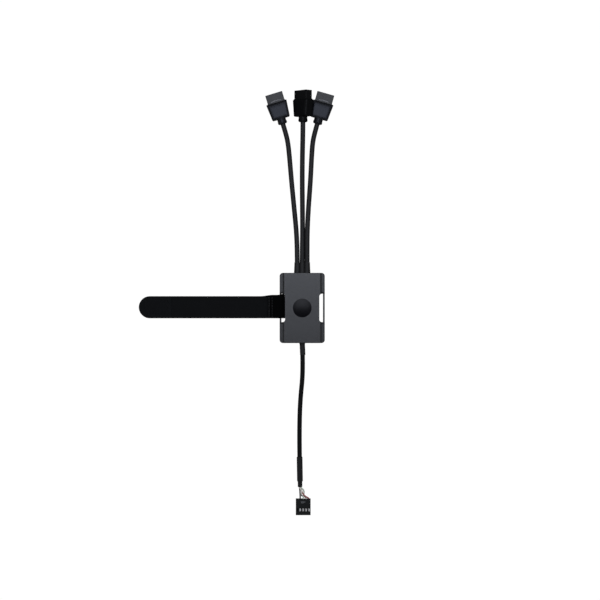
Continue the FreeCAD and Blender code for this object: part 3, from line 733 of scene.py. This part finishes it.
start_piece()
bpy.ops.mesh.primitive_circle_add(
    vertices=BADGE_SIDES, radius=BADGE_RADIUS, fill_type="NGON", location=(0, 0, deck_top)
)
badge = bpy.context.object
badge.name = "deck_badge"
bpy.ops.object.transform_apply(location=True)
bpy.ops.object.mode_set(mode="EDIT")
bpy.ops.mesh.select_all(action="SELECT")
grow((0, 0, BADGE_HEIGHT))
bpy.ops.mesh.select_all(action="SELECT")
bpy.ops.mesh.normals_make_consistent(inside=False)
bpy.ops.object.mode_set(mode="OBJECT")
apply_modifier(badge, "BEVEL", width=BADGE_EDGE, segments=BADGE_EDGE_STEPS, limit_method="ANGLE")
bpy.ops.object.shade_smooth_by_angle(angle=BADGE_SMOOTH_ANGLE)
print("badge at", round(deck_top, 4))

# %% [markdown]
# ## Collar highlights
# Where a shroud leaves its grip, the photograph shows a thin light line that bows towards the mouth, on the
# two plugs that lie flat. That line is a highlight, and it is painted here as a pale bead on the shroud's
# upper face. Each plug lies on the last run of its lead, so the bead's points are placed from that run:
# across the plug, along it, and on its top.

# %% Lay a pale bead on each flat shroud, as a painted highlight
CABLE_SEAT = 2.7 * MILLI
COLLAR_RIM = 0.3 * MILLI
HIGHLIGHT_BEAD_ALONG = 20.0 * MILLI
HIGHLIGHT_BEAD_BOW = 0.6 * MILLI
HIGHLIGHT_BEAD_HALF = 4.4 * MILLI
HIGHLIGHT_BEAD_DIAMETER = 0.8 * MILLI
HIGHLIGHT_BEAD_POINTS = 5


def plug_point(side, across, along):
    """A place on the upper face of a plug's shroud, from the last run of its lead."""
    before_end, end = (Vector(point) for point in OUTPUT_ROUTES[side][-2:])
    onward = (end - before_end).normalized()
    sideways = Vector((onward.y, -onward.x, 0))
    place = end + onward * (along - CABLE_SEAT) + sideways * across
    place.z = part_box(f"{side}_plug_shroud")[1].z - COLLAR_RIM
    return place


def lay_highlight_bead(side):
    """A bowed pale bead across the upper face of a plug's shroud, which paints a highlight."""
    places = []
    for step in range(HIGHLIGHT_BEAD_POINTS):
        share = 2 * step / (HIGHLIGHT_BEAD_POINTS - 1) - 1
        along = HIGHLIGHT_BEAD_ALONG + HIGHLIGHT_BEAD_BOW * (1 - share**2)
        places.append(plug_point(side, share * HIGHLIGHT_BEAD_HALF, along))
    return lay_lead(f"{side}_bead", places, HIGHLIGHT_BEAD_DIAMETER)


highlight_beads = {side: lay_highlight_bead(side) for side in ("left", "right")}
print("beads at", round(plug_point("left", 0, HIGHLIGHT_BEAD_ALONG).z, 5))

# %% [markdown]
# ## Finishes
# Nearly every surface is black plastic, so the difference between pieces lies in their grain and gloss. One
# shared group makes the grain: a fine noise for the bump of the mould, and a broad one for the uneven tone of
# handling and wear. Its Stretch input draws the pattern out, as on an extruded cable jacket.

# %% Build the shared grain
FINE_DETAIL = 3.0
BROAD_DETAIL = 5.0


def new_group(name, inputs, outputs):
    """A shader node group with named sockets, and its input and output nodes."""
    tree = bpy.data.node_groups.new(name, "ShaderNodeTree")
    for label, kind in inputs:
        tree.interface.new_socket(label, in_out="INPUT", socket_type=kind)
    for label, kind in outputs:
        tree.interface.new_socket(label, in_out="OUTPUT", socket_type=kind)
    return tree, tree.nodes.new("NodeGroupInput"), tree.nodes.new("NodeGroupOutput")


grain, grain_in, grain_out = new_group(
    "surface grain",
    [("Stretch", "NodeSocketVector"), ("Fine", "NodeSocketFloat"), ("Broad", "NodeSocketFloat")],
    [("Height", "NodeSocketFloat"), ("Tone", "NodeSocketFloat")],
)
place = grain.nodes.new("ShaderNodeTexCoord")
stretch = grain.nodes.new("ShaderNodeMapping")
fine = grain.nodes.new("ShaderNodeTexNoise")
broad = grain.nodes.new("ShaderNodeTexNoise")
fine.inputs["Detail"].default_value = FINE_DETAIL
broad.inputs["Detail"].default_value = BROAD_DETAIL
grain.links.new(place.outputs["Object"], stretch.inputs["Vector"])
grain.links.new(grain_in.outputs["Stretch"], stretch.inputs["Scale"])
grain.links.new(stretch.outputs["Vector"], fine.inputs["Vector"])
grain.links.new(stretch.outputs["Vector"], broad.inputs["Vector"])
grain.links.new(grain_in.outputs["Fine"], fine.inputs["Scale"])
grain.links.new(grain_in.outputs["Broad"], broad.inputs["Scale"])
grain.links.new(fine.outputs["Fac"], grain_out.inputs["Height"])
grain.links.new(broad.outputs["Fac"], grain_out.inputs["Tone"])
print("group", grain.name)

# %% Write one function for every grained finish
BROAD_SIZE = 12 * MILLI
EDGE_SAMPLES = 8


def grained(name, dark, light, roughness, fine_size, bump, stretch_by=(1, 1, 1), soft_edge=0, **constants):
    """A material whose colour and roughness drift between two values, with a fine bump. Sizes are in mm."""
    material = bpy.data.materials.new(name)
    material.use_nodes = True
    tree = material.node_tree
    shader = tree.nodes["Principled BSDF"]
    for socket, value in constants.items():
        shader.inputs[socket.replace("_", " ")].default_value = value
    effect = tree.nodes.new("ShaderNodeGroup")
    effect.node_tree = grain
    effect.inputs["Stretch"].default_value = stretch_by
    effect.inputs["Fine"].default_value = 1 / (fine_size * MILLI)
    effect.inputs["Broad"].default_value = 1 / BROAD_SIZE
    colour = tree.nodes.new("ShaderNodeMix")
    colour.data_type = "RGBA"
    colour.inputs["A"].default_value = (*dark, 1)
    colour.inputs["B"].default_value = (*light, 1)
    shine = tree.nodes.new("ShaderNodeMapRange")
    shine.inputs["To Min"].default_value = roughness[0]
    shine.inputs["To Max"].default_value = roughness[1]
    relief = tree.nodes.new("ShaderNodeBump")
    relief.inputs["Strength"].default_value = bump
    relief.inputs["Distance"].default_value = fine_size * MILLI
    if soft_edge:
        rounding = tree.nodes.new("ShaderNodeBevel")
        rounding.samples = EDGE_SAMPLES
        rounding.inputs["Radius"].default_value = soft_edge * MILLI
        tree.links.new(rounding.outputs["Normal"], relief.inputs["Normal"])
    tree.links.new(effect.outputs["Tone"], colour.inputs["Factor"])
    tree.links.new(effect.outputs["Tone"], shine.inputs["Value"])
    tree.links.new(effect.outputs["Height"], relief.inputs["Height"])
    tree.links.new(colour.outputs["Result"], shader.inputs["Base Color"])
    tree.links.new(shine.outputs["Result"], shader.inputs["Roughness"])
    tree.links.new(relief.outputs["Normal"], shader.inputs["Normal"])
    return material


def dress(material, *names):
    """Give a finish to pieces of the frame by name."""
    for name in names:
        nodes[name].data.materials.clear()
        nodes[name].data.materials.append(material)


print("broad drift", BROAD_SIZE, "m")

# %% [markdown]
# The box is satin plastic. The grips mirror less than the box does, and their soft edges are shaded by a
# Bevel node, because the solids have crisper ones than the photograph shows.

# %% Finish the box and the flat plugs
housing = grained(
    "satin housing",
    dark=(0.012, 0.0125, 0.014),
    light=(0.02, 0.021, 0.0235),
    roughness=(0.37, 0.45),
    fine_size=0.25,
    bump=0.12,
)
grip = grained(
    "grip plastic",
    dark=(0.0025, 0.0027, 0.0033),
    light=(0.0045, 0.0048, 0.006),
    roughness=(0.32, 0.4),
    fine_size=0.3,
    bump=0.12,
    soft_edge=3.0,
    Specular_IOR_Level=0.18,
    Specular_Tint=(0.92, 0.97, 1.12, 1),
)
shroud = grained(
    "shroud plastic",
    dark=(0.004, 0.0041, 0.0045),
    light=(0.008, 0.0083, 0.009),
    roughness=(0.45, 0.55),
    fine_size=0.35,
    bump=0.3,
    Specular_IOR_Level=0.46,
)
dress(housing, "top_cover", "bottom_cover")
dress(grip, "left_plug_grip", "right_plug_grip")
dress(shroud, "left_plug_shroud", "right_plug_shroud")
print("finishes", housing.name, grip.name, shroud.name)

# %% [markdown]
# The middle plug stands on its edge, and the photograph shows it darker than the other two, as its tilted
# faces mirror little of the light. It gets copies of the same finishes with less shine and with painted
# shade, a darker colour.

# %% Finish the middle plug, with painted shade
painted_shade_grip = grained(
    "grip plastic with painted shade",
    dark=(0.0008, 0.001, 0.0014),
    light=(0.0015, 0.0018, 0.0024),
    roughness=(0.36, 0.44),
    fine_size=0.3,
    bump=0.12,
    soft_edge=1.6,
    Specular_IOR_Level=0.08,
)
painted_shade_shroud = grained(
    "shroud plastic with painted shade",
    dark=(0.001, 0.0011, 0.0014),
    light=(0.002, 0.0022, 0.0028),
    roughness=(0.4, 0.5),
    fine_size=0.35,
    bump=0.2,
    soft_edge=0.5,
    Specular_IOR_Level=0.11,
)
dress(painted_shade_grip, "middle_plug_grip")
dress(painted_shade_shroud, "middle_plug_shroud")
print("finishes", painted_shade_grip.name, painted_shade_shroud.name)

# %% [markdown]
# Strain reliefs, jackets and the heat-shrink sleeve are soft and rougher than the box. A jacket's grain is
# drawn out along the lead, because it comes out of a die. The input lead is darker than the others.

# %% Finish the leads, the strain reliefs and the sleeve
ALONG_LEAD = (1, 0.06, 1)
ALONG_SLEEVE = (1, 0.4, 1)

rubber = grained(
    "strain relief",
    dark=(0.003, 0.003, 0.0034),
    light=(0.006, 0.006, 0.007),
    roughness=(0.55, 0.65),
    fine_size=0.3,
    bump=0.2,
    Specular_IOR_Level=0.3,
)
jacket = grained(
    "cable jacket",
    dark=(0.003, 0.003, 0.0034),
    light=(0.006, 0.006, 0.007),
    roughness=(0.58, 0.68),
    fine_size=0.35,
    bump=0.2,
    stretch_by=ALONG_LEAD,
    Specular_IOR_Level=0.3,
)
dark_jacket = grained(
    "dark cable jacket",
    dark=(0.001, 0.001, 0.0013),
    light=(0.0035, 0.0035, 0.004),
    roughness=(0.58, 0.68),
    fine_size=0.35,
    bump=0.2,
    stretch_by=ALONG_LEAD,
    Specular_IOR_Level=0.14,
)
shrink = grained(
    "heat-shrink",
    dark=(0.003, 0.003, 0.0034),
    light=(0.007, 0.007, 0.008),
    roughness=(0.5, 0.62),
    fine_size=0.7,
    bump=0.35,
    stretch_by=ALONG_SLEEVE,
    Specular_IOR_Level=0.3,
)
dress(rubber, "output_boot", "input_boot")
dress(shrink, "cable_sleeve")
for lead in output_leads.values():
    lead.data.materials.append(jacket)
input_lead.data.materials.append(dark_jacket)
print("finishes", rubber.name, jacket.name, dark_jacket.name, shrink.name)

# %% [markdown]
# The socket is harder plastic with a tighter shine. The badge is nearly black and smooth, and the beads are
# pale and dull: painted highlights, which read as thin light lines.

# %% Finish the socket, the badge and the beads of painted highlight
socket = grained(
    "socket plastic",
    dark=(0.003, 0.0036, 0.0036),
    light=(0.006, 0.007, 0.007),
    roughness=(0.36, 0.44),
    fine_size=0.25,
    bump=0.15,
)
badge_finish = grained(
    "gloss badge",
    dark=(0.002, 0.002, 0.003),
    light=(0.003, 0.003, 0.0045),
    roughness=(0.3, 0.36),
    fine_size=0.4,
    bump=0.02,
    Specular_IOR_Level=0.12,
)
highlight_bead_finish = grained(
    "pale bead",
    dark=(0.13, 0.13, 0.14),
    light=(0.16, 0.16, 0.17),
    roughness=(0.6, 0.7),
    fine_size=0.4,
    bump=0.05,
    Specular_IOR_Level=0.3,
)
dress(socket, "header_housing")
badge.data.materials.append(badge_finish)
for highlight_bead in highlight_beads.values():
    highlight_bead.data.materials.append(highlight_bead_finish)
print("finishes", socket.name, badge_finish.name, highlight_bead_finish.name)

# %% [markdown]
# The contacts in the socket's windows are tinned, and look more pale than metallic at this size. The pins in
# the plugs are gold-plated. The wires' colours are washed out, as they are in the photograph: green is
# painted far paler than green insulation, a painted highlight, and white is an off-white darkened further by
# painted shade.

# %% Finish the metals and the wires
contact = grained(
    "tinned contact",
    dark=(0.75, 0.74, 0.72),
    light=(0.88, 0.87, 0.85),
    roughness=(0.25, 0.4),
    fine_size=0.2,
    bump=0.1,
    Metallic=0.3,
)
gold = grained(
    "gold-plated pin",
    dark=(0.75, 0.52, 0.2),
    light=(0.9, 0.68, 0.32),
    roughness=(0.2, 0.35),
    fine_size=0.2,
    bump=0.08,
    Metallic=1.0,
)
dress(contact, "header_contacts")
dress(gold, "left_plug_pins", "middle_plug_pins", "right_plug_pins")

# Black and red are the insulation's own colours; green is paler than its insulation, a painted highlight, and
# white is darkened a little, painted shade.
INSULATION_TONES_WITH_PAINTED_LIGHT = {
    "black": ((0.004, 0.004, 0.004), (0.01, 0.01, 0.01)),
    "white": ((0.68, 0.64, 0.58), (0.78, 0.75, 0.69)),
    "green": ((0.58, 0.67, 0.54), (0.68, 0.77, 0.64)),
    "red": ((0.32, 0.09, 0.09), (0.4, 0.12, 0.12)),
}
INNER_WIRES = {"black": "ground", "white": "data_minus", "green": "data_plus", "red": "power"}
for colour, (dark, light) in INSULATION_TONES_WITH_PAINTED_LIGHT.items():
    finish = grained(f"{colour} insulation", dark, light, roughness=(0.3, 0.45), fine_size=0.2, bump=0.1)
    dress(finish, f"header_{colour}_wire", f"{INNER_WIRES[colour]}_wires")
    wires[colour].data.materials.append(finish)
print("finishes", contact.name, gold.name, "and insulation", list(INSULATION_TONES_WITH_PAINTED_LIGHT))

# %% [markdown]
# The parts inside the box don't show, but they get true finishes too, for anyone who opens the model: green
# solder mask, chip resin, tan ceramic, a pressed metal can and solder.

# %% Finish the parts inside the box
solder = grained(
    "solder",
    dark=(0.6, 0.6, 0.58),
    light=(0.8, 0.8, 0.78),
    roughness=(0.2, 0.4),
    fine_size=0.3,
    bump=0.2,
    Metallic=1.0,
)
can = grained(
    "pressed metal can",
    dark=(0.55, 0.55, 0.54),
    light=(0.7, 0.7, 0.69),
    roughness=(0.3, 0.45),
    fine_size=0.2,
    bump=0.1,
    Metallic=1.0,
)
mask = grained(
    "solder mask",
    dark=(0.004, 0.05, 0.015),
    light=(0.008, 0.09, 0.03),
    roughness=(0.2, 0.35),
    fine_size=0.6,
    bump=0.2,
)
resin = grained(
    "chip resin",
    dark=(0.006, 0.006, 0.006),
    light=(0.012, 0.012, 0.012),
    roughness=(0.5, 0.65),
    fine_size=0.1,
    bump=0.2,
)
ceramic = grained(
    "tan ceramic",
    dark=(0.3, 0.18, 0.08),
    light=(0.42, 0.28, 0.14),
    roughness=(0.4, 0.55),
    fine_size=0.2,
    bump=0.1,
)
dress(mask, "circuit_board")
dress(resin, "controller_chip", "chip_resistors")
dress(ceramic, "bulk_capacitors", "chip_capacitors")
dress(can, "crystal")
dress(solder, "solder_joints")
print("finishes", solder.name, can.name, mask.name, resin.name, ceramic.name)

# %% [markdown]
# The strap has four finishes. The loops and the weave are nearly black and scatter what little light they
# take. The nylon of the hooks is a shade lighter, and the thread is the lightest, so the seam can be seen.

# %% Finish the strap
loops = grained(
    "loop pile",
    dark=(0.0016, 0.0018, 0.0022),
    light=(0.0045, 0.005, 0.0058),
    roughness=(0.85, 1.0),
    fine_size=0.3,
    bump=0.6,
    Specular_IOR_Level=0.12,
)
weave = grained(
    "plain weave",
    dark=(0.0008, 0.0009, 0.001),
    light=(0.002, 0.0021, 0.0023),
    roughness=(0.9, 1.0),
    fine_size=0.4,
    bump=0.4,
    Specular_IOR_Level=0.02,
)
nylon = grained(
    "hook nylon",
    dark=(0.0035, 0.0038, 0.0044),
    light=(0.007, 0.0076, 0.0088),
    roughness=(0.6, 0.75),
    fine_size=0.3,
    bump=0.2,
    Specular_IOR_Level=0.06,
)
thread = grained(
    "black thread",
    dark=(0.01, 0.0105, 0.012),
    light=(0.02, 0.021, 0.024),
    roughness=(0.4, 0.6),
    fine_size=0.15,
    bump=0.4,
)
tape.data.materials[LOOP_SLOT] = loops
tape.data.materials[WEAVE_SLOT] = weave
patch.data.materials.append(nylon)
stitches.data.materials.append(thread)
print("finishes", loops.name, weave.name, nylon.name, thread.name)

# %% [markdown]
# ## Place in the frame
# Every piece rides on the part's one body, and hides the solids that it stands for.


def stands_for(piece, slot, *names):
    """A piece that rides on the part and takes the place of solids."""
    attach(piece, "root")
    if names:
        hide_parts(*names)


for side, lead in output_leads.items():
    stands_for(lead, "jacket", f"{side}_cable")
stands_for(input_lead, "jacket", "input_cable")
print("leads tied", len(output_leads) + 1)

for colour, wire in wires.items():
    stands_for(wire, f"{colour}_insulation", f"header_{colour}_wire")
stands_for(tape, "strap", "strap")
stands_for(patch, "strap")
stands_for(stitches, "strap")
stands_for(badge, "housing")
# The pale beads are painted highlights on the shrouds.
for highlight_bead in highlight_beads.values():
    stands_for(highlight_bead, "shroud")
